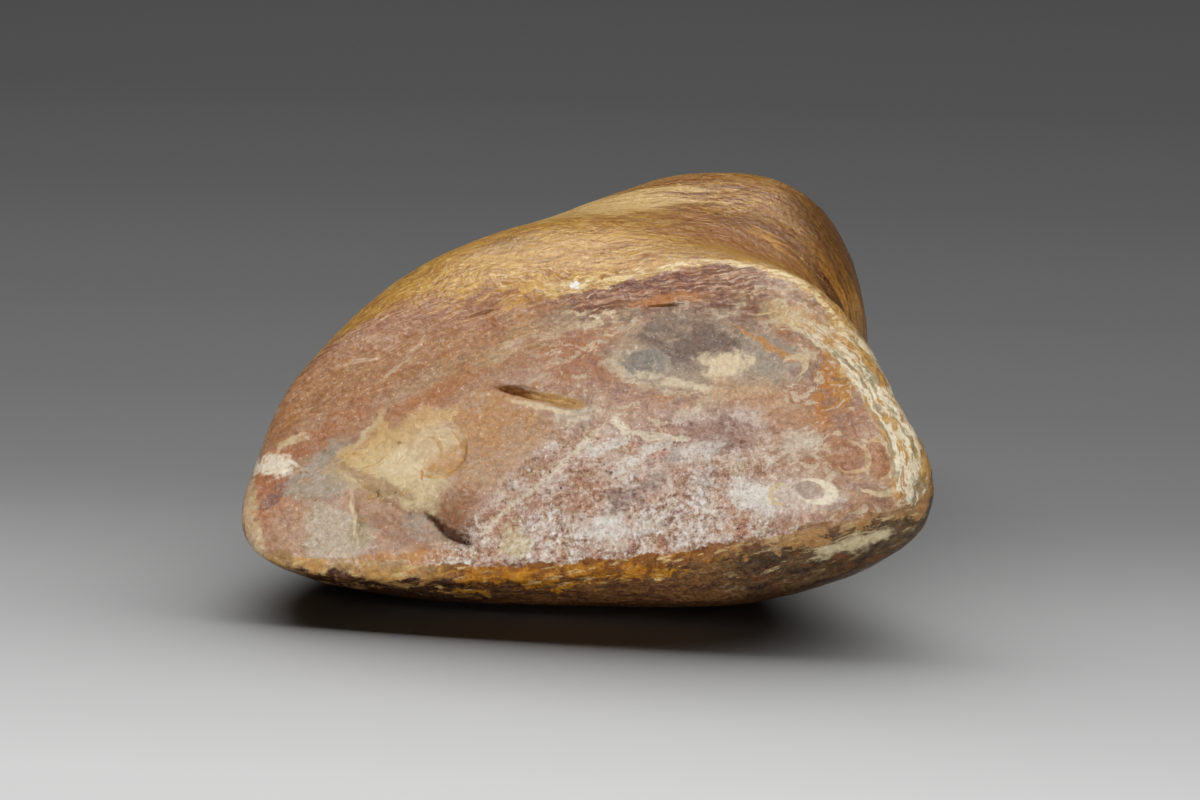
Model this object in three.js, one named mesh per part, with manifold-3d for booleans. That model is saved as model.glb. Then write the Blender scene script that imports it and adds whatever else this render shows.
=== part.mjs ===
// A bell-shaped stone pestle, pecked and ground from one block of banded stone.
// It lies on its side: +Z is up, the working face looks along -Y and leans back, and the grip runs back along +Y.
// The origin is on the ground, under the middle of the stone. Sizes are in millimetres, angles in degrees.

import * as THREE from "three";
import { mergeVertices } from "three/addons/utils/BufferGeometryUtils.js";
import Module from "manifold-3d";

const wasm = await Module();
wasm.setup();

// The sections of the stone, from the working face to the butt. Run is how far a section lies behind the one
// before it, up and side are where its middle lies, and tilt and roll are how it leans back and turns in its own
// plane. Squareness is 2 for an oval and more for a boxier outline. Fullness says how full the outline is against
// that shape, by the clock, from 3 o'clock round over 12 o'clock.

// The working face: a rolled oval that leans back, with a crown in its middle.
const face = {
  run: 0,
  up: 33,
  side: -4.5,
  width: 121.5,
  height: 56,
  tilt: 40,
  roll: 12,
  squareness: 2.8,
  crown: 3,
  fullness: [0.96, 0.91, 0.98, 0.92, 0.95, 0.93, 0.97, 1.05, 0.94, 0.98, 1.02, 1.07],
};

// The flared foot behind the rim of the face.
const foot = {
  run: 6,
  up: 30.5,
  side: -4,
  width: 124,
  height: 66,
  tilt: 31,
  roll: 6,
  squareness: 2.6,
  fullness: [0.96, 0.91, 0.98, 0.88, 0.85, 0.88, 0.96, 1.06, 0.985, 0.985, 1.065, 1.105],
};

// The neck, where the foot draws in to the grip.
const neck = {
  run: 26,
  up: 30,
  side: -4,
  width: 99,
  height: 59,
  tilt: 10,
  roll: 2,
  squareness: 2.3,
  fullness: [0.98, 0.98, 1, 1, 1, 1, 1, 1, 1, 1, 1, 1],
};

// The grip, which fills the hand.
const grip = {
  run: 24,
  up: 30,
  side: 4,
  width: 82,
  height: 59,
  tilt: 0,
  roll: 4,
  squareness: 2.15,
  fullness: [0.97, 1, 1, 0.98, 1.03, 1.03, 1, 1, 1, 1, 1, 1],
};

// The butt, with a dome of this depth behind it.
const butt = {
  run: 19,
  up: 31.5,
  side: 9,
  width: 66,
  height: 57,
  tilt: 0,
  roll: 4,
  squareness: 2.1,
  fullness: [0.94, 0.99, 1.04, 1, 0.99, 1, 1, 1, 1, 1, 1, 1],
  dome: 22,
};

// How far back each section lies: the runs up to it, added up.
const sections = [face, foot, neck, grip, butt];
let length = 0;
for (const section of sections) {
  length += section.run;
  section.back = length;
}

// The rounding of the face's rim: worn round at the upper left, crisp where the rim meets the ground.
const rimRadius = { right: 7, upperRight: 4.5, upperLeft: 13, left: 6, lowerLeft: 2.5, lowerRight: 2.5 };

// The underside is ground flat where the stone rests, to this depth.
const restDepth = 0.9;

// Hollows in the face. Their places are shares of the face's half width and half height from its middle.
// Slant turns a hollow in the plane of the face. Steepness is 1 for upright walls and less for a shallow scoop.
const fissure = { across: -0.08, upward: 0.225, length: 16.5, width: 1.8, depth: 3, slant: -20, steepness: 1 };
const ledgeSlit = { across: 0.4, upward: 0.7, length: 8, width: 1, depth: 1.2, slant: -8, steepness: 1 };
const chip = { across: -0.5, upward: -0.49, length: 24, width: 8.5, depth: 1.5, slant: -30, steepness: 0.6 };
const chipWall = { across: -0.385, upward: -0.6, length: 11.5, width: 4.4, depth: 2.4, slant: -46, steepness: 0.9 };
const pocketBasin = { across: -0.6, upward: -0.11, length: 19, width: 10, depth: 0.7, slant: -10, steepness: 0.4 };
const pocketShell = { across: -0.41, upward: -0.1, length: 10, width: 7.5, depth: 0.8, slant: 24, steepness: 0.45 };
const pocketStep = { across: -0.5, upward: -0.3, length: 9, width: 5.5, depth: 0.7, slant: -30, steepness: 0.5 };
const hollows = [fissure, ledgeSlit, chip, chipWall, pocketBasin, pocketShell, pocketStep];

// How finely the surface is divided.
const stringers = 96;
const ringsAlong = 34;
const rimSteps = 5;
const faceRings = 9;
const buttAngles = [28, 54, 74];
const hollowSteps = 24;

const radians = THREE.MathUtils.degToRad;

// The value of a closed list at a fraction of its round, along a smooth curve.
function aroundTheClock(values, turn) {
  const n = values.length;
  const at = turn * n;
  const i = Math.floor(at);
  const f = at - i;
  const [a, b, c, d] = [i - 1, i, i + 1, i + 2].map((k) => values[((k % n) + n) % n]);
  return b + 0.5 * f * (c - a + f * (2 * a - 5 * b + 4 * c - d + f * (3 * (b - c) + d - a)));
}

// How far a section's outline reaches at a turn, as a share of its half width and half height.
function reachAt(section, turn) {
  const c = Math.abs(Math.cos(turn * 2 * Math.PI));
  const s = Math.abs(Math.sin(turn * 2 * Math.PI));
  const n = section.squareness;
  return aroundTheClock(section.fullness, turn) * (c ** n + s ** n) ** (-1 / n);
}

// A point of a section's outline, at a turn from 0 to 1 counted from the right towards the top.
function outlinePoint(section, turn, scale = 1) {
  const reach = scale * reachAt(section, turn);
  const across = (section.width / 2) * reach * Math.cos(turn * 2 * Math.PI);
  const upward = (section.height / 2) * reach * Math.sin(turn * 2 * Math.PI);
  return new THREE.Vector3(across, 0, upward);
}

// Turns a point of a section's own plane into the stone's frame.
function placed(section, point) {
  return point
    .applyAxisAngle(new THREE.Vector3(0, 1, 0), -radians(section.roll))
    .applyAxisAngle(new THREE.Vector3(1, 0, 0), -radians(section.tilt))
    .add(new THREE.Vector3(section.side, section.back, section.up));
}

// A point of the crowned face, at a share of the way from its middle to the rim.
function facePoint(turn, share) {
  const point = outlinePoint(face, turn, share);
  point.y = -face.crown * (1 - share ** 2);
  return placed(face, point);
}

// The rounding of the rim at a turn, blended between the places that are given.
function rimRadiusAt(turn) {
  const { right, upperRight, upperLeft, left, lowerLeft, lowerRight } = rimRadius;
  return aroundTheClock([right, upperRight, upperLeft, left, lowerLeft, lowerRight], turn);
}

// The stringer that runs from the rim over the neck and the grip to the butt.
function stringerAt(turn) {
  const points = [facePoint(turn, 1)];
  for (const section of sections.slice(1)) points.push(placed(section, outlinePoint(section, turn)));
  for (const angle of buttAngles) {
    const ring = { ...butt, back: butt.back + butt.dome * Math.sin(radians(angle)) };
    points.push(placed(ring, outlinePoint(ring, turn, Math.cos(radians(angle)))));
  }
  points.push(new THREE.Vector3(butt.side, butt.back + butt.dome, butt.up));
  return new THREE.CatmullRomCurve3(points, false, "centripetal");
}

// One line of points from the middle of the face over its rounded rim and back to the butt.
function profileAt(turn) {
  const stringer = stringerAt(turn);
  const length = stringer.getLength();
  const radius = rimRadiusAt(turn);
  const rim = stringer.getPointAt(0);
  const inset = 1 - radius / rim.distanceTo(facePoint(turn, 0));
  const start = facePoint(turn, inset);
  const end = stringer.getPointAt(radius / length);
  const round = new THREE.QuadraticBezierCurve3(start, rim, end);
  const points = [];
  for (let i = 1; i <= faceRings; i++) points.push(facePoint(turn, (inset * i) / (faceRings + 1)));
  for (let i = 0; i <= rimSteps; i++) points.push(round.getPoint(i / rimSteps));
  for (let i = 1; i < ringsAlong; i++) {
    points.push(stringer.getPointAt((radius + ((length - radius) * i) / ringsAlong) / length));
  }
  return points;
}

// The closed skin of the stone, from rings round the axis and a pole at each end.
function loftedStone() {
  const profiles = [];
  for (let j = 0; j < stringers; j++) profiles.push(profileAt(j / stringers));
  const rings = profiles[0].length;
  const vertices = [];
  for (let i = 0; i < rings; i++) for (const profile of profiles) vertices.push(...profile[i].toArray());
  const front = rings * stringers;
  vertices.push(...facePoint(0, 0).toArray());
  vertices.push(butt.side, butt.back + butt.dome, butt.up);
  const triangles = [];
  for (let j = 0; j < stringers; j++) {
    const k = (j + 1) % stringers;
    triangles.push(front, j, k);
    for (let i = 0; i + 1 < rings; i++) {
      const [a, b, c, d] = [i * stringers + j, i * stringers + k, (i + 1) * stringers + j, (i + 1) * stringers + k];
      triangles.push(a, c, b, b, c, d);
    }
    triangles.push(front + 1, (rings - 1) * stringers + k, (rings - 1) * stringers + j);
  }
  return new THREE.BufferGeometry()
    .setAttribute("position", new THREE.Float32BufferAttribute(vertices, 3))
    .setIndex(triangles);
}

// The lens-shaped solid that cuts one hollow into the face.
// A shallow scoop is the lower cap of a deeper lens, whose middle is raised above the face.
function hollowTool(hollow) {
  const rise = 1 - hollow.steepness;
  const spread = Math.sqrt(1 - rise ** 2);
  const halfDepth = hollow.depth / hollow.steepness;
  const turn = (Math.atan2(hollow.upward, hollow.across) / (2 * Math.PI) + 1) % 1;
  const share = Math.hypot(hollow.across, hollow.upward) / reachAt(face, turn);
  const { x, y, z } = facePoint(turn, share);
  return new THREE.SphereGeometry(1, hollowSteps, hollowSteps / 2)
    .scale(hollow.length / 2 / spread, halfDepth, hollow.width / 2 / spread)
    .rotateY(-radians(hollow.slant))
    .translate(0, -rise * halfDepth, 0)
    .rotateY(-radians(face.roll))
    .rotateX(-radians(face.tilt))
    .translate(x, y, z);
}

// A solid that can be cut, from a closed geometry.
function solidOf(geometry) {
  geometry.deleteAttribute("normal");
  geometry.deleteAttribute("uv");
  const merged = mergeVertices(geometry);
  const vertProperties = merged.attributes.position.array;
  const triVerts = new Uint32Array(merged.index.array);
  return new wasm.Manifold(new wasm.Mesh({ numProp: 3, vertProperties, triVerts }));
}

// The block of everything below a height, as wide as the stone and more.
function groundBelow(height) {
  const size = 2 * (face.width + foot.width);
  return new THREE.BoxGeometry(size, size, size).translate(0, 0, height - size / 2);
}

// The stone with its hollows, ground flat underneath, as a geometry that stands on the origin.
function finishedStone() {
  let stone = solidOf(loftedStone());
  for (const hollow of hollows) stone = stone.subtract(solidOf(hollowTool(hollow)));
  const lowest = stone.boundingBox().min[2];
  stone = stone.subtract(solidOf(groundBelow(lowest + restDepth)));
  const { min, max } = stone.boundingBox();
  stone = stone.translate([-(min[0] + max[0]) / 2, -(min[1] + max[1]) / 2, -min[2]]);
  const { vertProperties, triVerts } = stone.getMesh();
  return new THREE.BufferGeometry()
    .setAttribute("position", new THREE.BufferAttribute(vertProperties, 3))
    .setIndex(new THREE.BufferAttribute(triVerts, 1));
}

const stoneMaterial = new THREE.MeshStandardMaterial({ color: 0xb4803f, roughness: 0.45, metalness: 0 });
const pestle = new THREE.Mesh(finishedStone(), stoneMaterial);
pestle.name = "pestle_stone";

const group = new THREE.Group();
group.add(pestle);

export default group;
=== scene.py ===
"""A bell-shaped stone pestle, ground and polished from one block of banded stone, lying on its side."""

import math

import bpy
from mathutils import Matrix, Vector, noise


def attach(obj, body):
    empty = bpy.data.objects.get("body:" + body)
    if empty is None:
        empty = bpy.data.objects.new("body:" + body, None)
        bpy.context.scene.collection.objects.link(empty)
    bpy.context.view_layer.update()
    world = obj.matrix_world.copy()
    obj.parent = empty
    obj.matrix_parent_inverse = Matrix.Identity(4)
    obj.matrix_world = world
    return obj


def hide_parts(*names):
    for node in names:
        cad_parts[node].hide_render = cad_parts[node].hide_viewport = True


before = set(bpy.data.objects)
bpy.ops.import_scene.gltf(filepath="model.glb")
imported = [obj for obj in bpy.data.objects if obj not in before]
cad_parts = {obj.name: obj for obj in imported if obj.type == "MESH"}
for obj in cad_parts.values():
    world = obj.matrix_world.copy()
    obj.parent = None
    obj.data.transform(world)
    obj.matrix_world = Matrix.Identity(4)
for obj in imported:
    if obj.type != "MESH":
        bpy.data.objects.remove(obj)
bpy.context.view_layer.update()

MM = 0.001

# The working face: its middle, how far it leans back and how far it is rolled.
FACE_CENTRE = Vector((-2.76, -38.81, 31.9)) * MM
FACE_LEAN = math.radians(40)
FACE_ROLL = math.radians(12)
FACE_TURN = Matrix.Rotation(-FACE_LEAN, 3, "X") @ Matrix.Rotation(-FACE_ROLL, 3, "Y")

# The camera looks at the stone from the front, a little from the right and from above.
CAMERA_AZIMUTH = math.radians(10)
CAMERA_ELEVATION = math.radians(20)
CAMERA_DISTANCE = 618.6 * MM
CAMERA_TARGET = Vector((-0.46, -21.81, 31.4)) * MM
CAMERA_LENS = 100


def on_face(across, depth, up):
    """A place given in the face's own directions, in millimetres, as a place in the stone's frame."""
    return FACE_CENTRE + FACE_TURN @ (Vector((across, depth, up)) * MM)


def face_place(point):
    """A point of the stone, as millimetres across, into and up the face."""
    return FACE_TURN.transposed() @ (point - FACE_CENTRE) / MM


# Shaping the stone.

ROUGH_VOXEL = 0.8 * MM
FINE_VOXEL = 0.7 * MM
MERGE_DISTANCE = 0.01 * MM
SMOOTHING = 0.5
WEAR_ROUNDS = 1
POLISH_ROUNDS = 12
FINISH_ROUNDS = 2
WORN_ROUNDS = 30
CREASE_ANGLE = math.radians(38)
LEAST_WEIGHT = 0.01


def only(piece):
    """Selects one piece and nothing else."""
    bpy.ops.object.select_all(action="DESELECT")
    piece.select_set(True)
    bpy.context.view_layer.objects.active = piece


def apply_modifier(piece, name, kind, **settings):
    """Adds a modifier with its settings and applies it."""
    only(piece)
    modifier = piece.modifiers.new(name, kind)
    for key, value in settings.items():
        setattr(modifier, key, value)
    bpy.ops.object.modifier_apply(modifier=name)


def smooth(piece, name, rounds, group=""):
    """Rubs a piece smooth, all over or where a vertex group says."""
    apply_modifier(piece, name, "SMOOTH", factor=SMOOTHING, iterations=rounds, vertex_group=group)


def copied_stone(name):
    """A new piece with a copy of the CAD stone's mesh, its doubles merged."""
    piece = bpy.data.objects.new(name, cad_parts["pestle_stone"].data.copy())
    bpy.context.scene.collection.objects.link(piece)
    only(piece)
    bpy.ops.object.mode_set(mode="EDIT")
    bpy.ops.mesh.select_all(action="SELECT")
    bpy.ops.mesh.remove_doubles(threshold=MERGE_DISTANCE)
    bpy.ops.object.mode_set(mode="OBJECT")
    return piece


def cutter(name, at, size, slant=0, lean=0, dip=0, lumps=0, seed=0, pointed=0):
    """A lumpy pebble that cuts a hollow, its place and size across, into and up the face in millimetres.

    Slant turns it in the plane of the face, lean tips its lower edge inwards and dip its right edge.
    Pointed draws its two ends out to tips.
    """
    bpy.ops.object.select_all(action="DESELECT")
    bpy.ops.mesh.primitive_ico_sphere_add(subdivisions=5, radius=1)
    tool = bpy.context.object
    tool.name = name
    for vertex in tool.data.vertices:
        swell = noise.noise(vertex.co * 1.7 + Vector((seed, 2 * seed, 0)))
        vertex.co *= 1 + lumps * swell
        vertex.co.z *= 1 - pointed * abs(vertex.co.x)
        vertex.co.y *= 1 - pointed * abs(vertex.co.x)
    turn = Matrix.Rotation(-math.radians(slant), 4, "Y")
    turn = turn @ Matrix.Rotation(math.radians(lean), 4, "X") @ Matrix.Rotation(math.radians(dip), 4, "Z")
    half = Matrix.Diagonal(Vector((*[length / 2 * MM for length in size], 1)))
    place = Matrix.Translation(on_face(*at)) @ FACE_TURN.to_4x4() @ turn @ half
    tool.data.transform(place)
    return tool


def cut(piece, tools):
    """Joins tools that don't touch each other, cuts them out of the piece and removes them."""
    only(tools[0])
    for tool in tools:
        tool.select_set(True)
    bpy.ops.object.join()
    apply_modifier(piece, "cut", "BOOLEAN", operation="DIFFERENCE", object=tools[0], solver="MANIFOLD")
    bpy.data.objects.remove(tools[0])


def cut_hollows(piece, rounds):
    """Cuts hollows out of the piece. The hollows of one round don't touch each other."""
    for hollows in rounds:
        cut(piece, [cutter(name, **place) for name, place in hollows.items()])


# Soft-edged hollows, cut before the surface is worn: the place of the cutter's middle, its size and its turn.
SOFT_HOLLOWS = [
    {
        "pocket_basin": dict(at=(-33, -4.3, -1.0), size=(22, 6.4, 13), slant=10, lumps=0.15, seed=14),
        "brown_facet": dict(
            at=(-36.2, -4.2, -11.6), size=(16, 7.2, 8), slant=-44, lean=16, lumps=0.05, seed=11,
        ),
        "low_notch": dict(at=(-29, -1.2, -24.2), size=(9, 3, 3.4), slant=-6, lumps=0.2, seed=16),
        "fissure_end": dict(at=(-0.6, -3.6, 4.8), size=(13, 4.4, 4.0), slant=-18, lumps=0.1, seed=23),
    },
    {
        "grey_facet": dict(
            at=(-30.4, -3.6, -16.8), size=(12, 6.6, 7), slant=-30, lean=-12, lumps=0.05, seed=10,
        ),
    },
]

# Crisp hollows, cut last.
CRISP_HOLLOWS = [
    {
        "fissure": dict(
            at=(-6.4, -2.4, 6.8), size=(12.8, 4.4, 2.2), slant=-20, lean=-24, lumps=0.5, seed=31,
            pointed=0.55,
        ),
        "ledge_slit": dict(
            at=(19.6, -0.8, 20.7), size=(8.4, 2.4, 0.9), slant=-4, lean=-30, lumps=0.4, seed=5, pointed=0.5,
        ),
        "ledge_left": dict(
            at=(-13.8, 0.5, 25.4), size=(6.4, 2.5, 1), slant=12, lean=-35, lumps=0.2, seed=6, pointed=0.5,
        ),
        "red_pit": dict(at=(8.6, 1.1, 29.6), size=(2.6, 2.0, 1.7), slant=10, lumps=0.4, seed=7),
        "red_pit_right": dict(at=(11.8, 1.0, 30.2), size=(2.0, 1.8, 1.5), slant=-10, lumps=0.4, seed=8),
        "pinhole": dict(at=(-30.7, -0.6, -12.1), size=(0.9, 2.2, 0.7)),
        "grain_pit": dict(at=(-5, -2.5, -12.4), size=(1.3, 1.4, 1.0), lumps=0.4, seed=17),
        "grain_pit_right": dict(at=(30.6, -1.9, -7.8), size=(1.0, 1.2, 0.8), lumps=0.4, seed=18),
        "flank_slit": dict(at=(48.6, 24, 31.8), size=(0.7, 3.6, 2.6), slant=14, lumps=0.2, seed=19),
    },
    {
        "fissure_left": dict(
            at=(-9.4, -2.3, 7.9), size=(6, 5.2, 2.2), slant=-12, lean=-26, lumps=0.2, seed=4, pointed=0.5,
        ),
    },
]

# Flakes struck off the face. Each falls steeply from a bowed edge and runs out softly on the left side of it.
# The middle of the edge across and up the face, half its length, the reach of the flake, its depth, the
# direction of the edge in degrees and how far its ends bow in, in millimetres.
FLAKES = {
    "chip": ((-24.4, -16.8), 6.4, 9.4, 2.7, -43, 1.4),
    "pocket_shell": ((-20.2, -5.2), 5.8, 8.0, 1.2, 45, 5.0),
    "fissure_tail": ((-1.4, 5.8), 5.4, 3.2, 1.6, 159, 0.3),
    "small_shell": ((-23.4, -1.6), 3.0, 4.0, 0.5, 30, 2.0),
    "pocket_step": ((-34.6, -8.4), 6.6, 8.0, 1.3, 142, 0.6),
    "facet": ((-40.4, -11.8), 5.2, 6.5, 1.0, -90, -0.4),
    "pocket_top": ((-41.0, 2.8), 9.0, 8.0, 0.9, 198, 1.6),
    "pocket_fold": ((-33.6, 3.6), 5.0, 5.0, 0.7, 232, 0.8),
    "grey_crescent": ((33.2, 15.0), 2.6, 3.4, 0.5, 170, 1.4),
    "grey_crescent_right": ((40.6, 4.5), 2.4, 3.0, 0.5, 60, 1.6),
    "grey_crescent_high": ((42.8, 8.2), 2.8, 3.4, 0.5, 100, 1.4),
    "slate_rim": ((12.0, 11.2), 3.4, 4.0, 0.6, -60, 1.2),
    "slate_foot": ((17.0, 6.4), 4.4, 4.2, 0.6, -28, 1.0),
    "crease_middle": ((9.0, -1.6), 3.4, 3.6, 0.6, -58, 0.8),
    "crease_long": ((16.5, -4.6), 6.8, 4.4, 0.6, 164, 0.8),
    "red_step": ((4, 22.6), 9.0, 4.4, 0.5, 182, 0.6),
    "strip_step": ((30, 20.0), 9.0, 4.0, 0.5, 172, 0.8),
    "rose_flake": ((-8.6, 13.4), 4.0, 3.6, 0.4, 205, 0.8),
    "low_flake": ((24, -14.6), 4.4, 4.0, 0.6, 150, 1.4),
    "low_flake_left": ((4, -16.0), 4.0, 3.6, 0.5, 30, 1.2),
    "curl_flake": ((44.6, -19.4), 3.4, 3.4, 0.5, 60, 2.4),
}

# How wide a flake's steep wall is, how far its edge wavers and how finely, how fast it gets shallower towards
# its ends and its far side, and how deep behind the face's plane flakes reach.
FLAKE_WALL = 0.5
FLAKE_WAVER = 0.5
FLAKE_WAVES = 0.6
FLAKE_ENDS = 0.7
FLAKE_RUN_OUT = 1.5
FLAKES_FADE, FLAKES_END = 3, 5

# Small bites out of the lower edge of the face: across and up the face, and their length, depth and height.
EDGE_BITES = [
    (-55, -17.6, 4.2, 2.0, 2.4), (-49.5, -19.6, 5.0, 1.6, 2.2), (-43.4, -21.8, 3.4, 1.8, 2.6),
    (-38.6, -22.4, 4.0, 1.4, 1.8), (-33.6, -23.4, 5.6, 1.8, 2.4), (-24.2, -24.6, 4.6, 1.6, 2.2),
    (-18.2, -25.2, 3.2, 1.8, 2.0), (-12.4, -25.0, 5.2, 1.6, 2.0), (-6.4, -26.4, 3.4, 2.0, 2.4),
    (-0.6, -26.8, 4.8, 1.6, 2.0), (6.6, -27.0, 4.0, 1.8, 2.4), (13.8, -27.0, 5.8, 1.4, 2.0),
    (20.6, -26.6, 3.6, 2.0, 2.4), (26.4, -26.2, 4.8, 1.8, 2.0), (33.4, -25.6, 5.2, 2.0, 2.6),
    (39.4, -25.4, 3.8, 1.8, 2.2), (45.2, -24.4, 4.6, 1.8, 2.4), (51.4, -22.6, 4.0, 1.6, 2.2),
]
BITE_MIDDLE = 0.2
BITE_TURN = 7
BITE_LUMPS = 0.3


def weights_by_place(piece, name, weight):
    """A vertex group whose weights come from the place across, into and up the face."""
    group = piece.vertex_groups.new(name=name)
    for vertex in piece.data.vertices:
        value = weight(face_place(vertex.co), vertex)
        if value > LEAST_WEIGHT:
            group.add([vertex.index], min(value, 1), "REPLACE")
    return group.name


def fade(value, full, none):
    """1 up to full and 0 from none on, with a smooth step between, in either direction."""
    share = min(max((value - none) / (full - none), 0), 1)
    return share * share * (3 - 2 * share)


def displace(piece, name, group, size, detail, height, level):
    """Raises and lowers the surface by clouds of a size, by up to a height, both in millimetres."""
    clouds = bpy.data.textures.new(name, "CLOUDS")
    clouds.noise_scale = size * MM
    clouds.noise_depth = detail
    apply_modifier(
        piece, name, "DISPLACE", texture=clouds, strength=height * MM, mid_level=level,
        texture_coords="LOCAL", vertex_group=group,
    )


def off_rest(place, vertex):
    """Keeps the flat patch that the stone rests on as it is."""
    return fade(vertex.co.z, 5 * MM, 0.6 * MM)


def off_ridge(place, vertex):
    """Keeps the lower edge and the left end of the face crisp."""
    low_or_left = max(fade(place.z, -17, -13), fade(place.x, -54, -48) * fade(place.z, 0, 6))
    return 1 - low_or_left * fade(abs(place.y - 0.5), 1.5, 4)


def lower_ridge(place, vertex):
    """The broken edge between the face and the underside."""
    return fade(abs(place.y - 0.8), 1.6, 4.0) * fade(place.z, -14, -8) * off_rest(place, vertex)


def granular_part(place, vertex):
    """The rough, crystalline lower middle of the face."""
    side = place.z - (0.8 * place.x + 2)
    return fade(place.y, 0, 2) * fade(side, -3, 2) * fade(place.x, 30, 44) * fade(place.z, 2, 6)


def pocket_part(place, vertex):
    """The pocket of chalcedony left of the fissure."""
    reach = math.hypot((place.x + 32) / 18, (place.z + 2) / 10)
    return fade(reach, 0.6, 1.1) * fade(place.y, 0, 3)


def worn_edges(place, vertex):
    """The upper right side of the chip and the right end of the fissure, where the hollows run out softly."""
    chip_side = fade(math.hypot(place.x + 16.5, place.z + 10.8), 5.5, 8)
    fissure_end = fade(math.hypot(place.x - 0.5, place.z - 4.4), 4, 6.5)
    return max(chip_side, fissure_end) * fade(place.y, 2, 4)


def flake_depth(place, number, middle, half, reach, depth, slant, bow):
    """How far a flake takes the surface down at a place of the face, in millimetres."""
    turn = math.radians(slant)
    right, over = place.x - middle[0], place.z - middle[1]
    along = (right * math.cos(turn) + over * math.sin(turn)) / half
    if abs(along) >= 1:
        return 0
    waver = FLAKE_WAVER * noise.noise(Vector((FLAKE_WAVES * place.x, FLAKE_WAVES * place.z, number)))
    off = over * math.cos(turn) - right * math.sin(turn) - bow * along ** 2 + waver
    if off <= 0 or off >= reach:
        return 0
    ends = (1 - along ** 2) ** FLAKE_ENDS
    return depth * ends * fade(off, FLAKE_WALL, 0) * (1 - off / reach) ** FLAKE_RUN_OUT


def strike_flakes(piece):
    """Takes the flakes off the face."""
    inwards = FACE_TURN @ Vector((0, 1, 0))
    for vertex in piece.data.vertices:
        place = face_place(vertex.co)
        if place.y > FLAKES_END:
            continue
        drop = sum(flake_depth(place, number, *flake) for number, flake in enumerate(FLAKES.values()))
        vertex.co += inwards * drop * fade(place.y, FLAKES_FADE, FLAKES_END) * MM


def right_rim(place, vertex):
    """The shelly bands round the right end of the rim."""
    return fade(place.x, 52, 40) * fade(place.y, 6, 12) * off_rest(place, vertex)


# Relief on parts of the stone: its name, where it lies, and the size, detail, height and level of its clouds.
RELIEF = [
    ("undulation", off_rest, 14, 2, 0.8, 0.62),
    ("pocket_lumps", pocket_part, 3.4, 2, 1.0, 0.5),
    ("ridge_chips", lower_ridge, 2.4, 2, 0.7, 0.6),
    ("grit", granular_part, 1.5, 2, 0.3, 0.5),
    ("shells", right_rim, 3.0, 1, 0.5, 0.5),
]


def edge_bites():
    """Cutters for the bites out of the lower edge, each turned its own way."""
    bites = []
    for number, (across, up, length, depth, height) in enumerate(EDGE_BITES):
        slant = BITE_TURN * math.sin(number * 2.3)
        size = (length, depth, height)
        at = (across, BITE_MIDDLE, up)
        bites.append(cutter("bite", at, size, slant, lumps=BITE_LUMPS, seed=20 + number))
    return bites


def shaped_stone():
    """The stone, worn smooth, with its hollows cut and its surface textured."""
    stone = copied_stone("stone")
    apply_modifier(stone, "rough", "REMESH", mode="VOXEL", voxel_size=ROUGH_VOXEL)
    smooth(stone, "wear", WEAR_ROUNDS)
    smooth(stone, "polish", POLISH_ROUNDS, weights_by_place(stone, "off_ridge", off_ridge))
    cut_hollows(stone, SOFT_HOLLOWS)
    cut(stone, edge_bites())
    apply_modifier(stone, "fine", "REMESH", mode="VOXEL", voxel_size=FINE_VOXEL)
    smooth(stone, "finish", FINISH_ROUNDS)
    smooth(stone, "worn", WORN_ROUNDS, weights_by_place(stone, "worn_edges", worn_edges))
    stone.vertex_groups.clear()
    groups = [weights_by_place(stone, name, where) for name, where, *_ in RELIEF]
    for group, (name, _, size, detail, height, level) in zip(groups, RELIEF):
        displace(stone, name, group, size, detail, height, level)
    strike_flakes(stone)
    cut_hollows(stone, CRISP_HOLLOWS)
    stone.vertex_groups.clear()
    stone.data.materials.clear()
    only(stone)
    bpy.ops.object.shade_smooth_by_angle(angle=CREASE_ANGLE)
    return stone


# Building materials.

def linear(colour):
    """What Blender takes for a colour that is given in its usual 0 to 255 values, all of them over 10."""
    return tuple(((value / 255 + 0.055) / 1.055) ** 2.4 for value in colour) + (1,)


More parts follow.
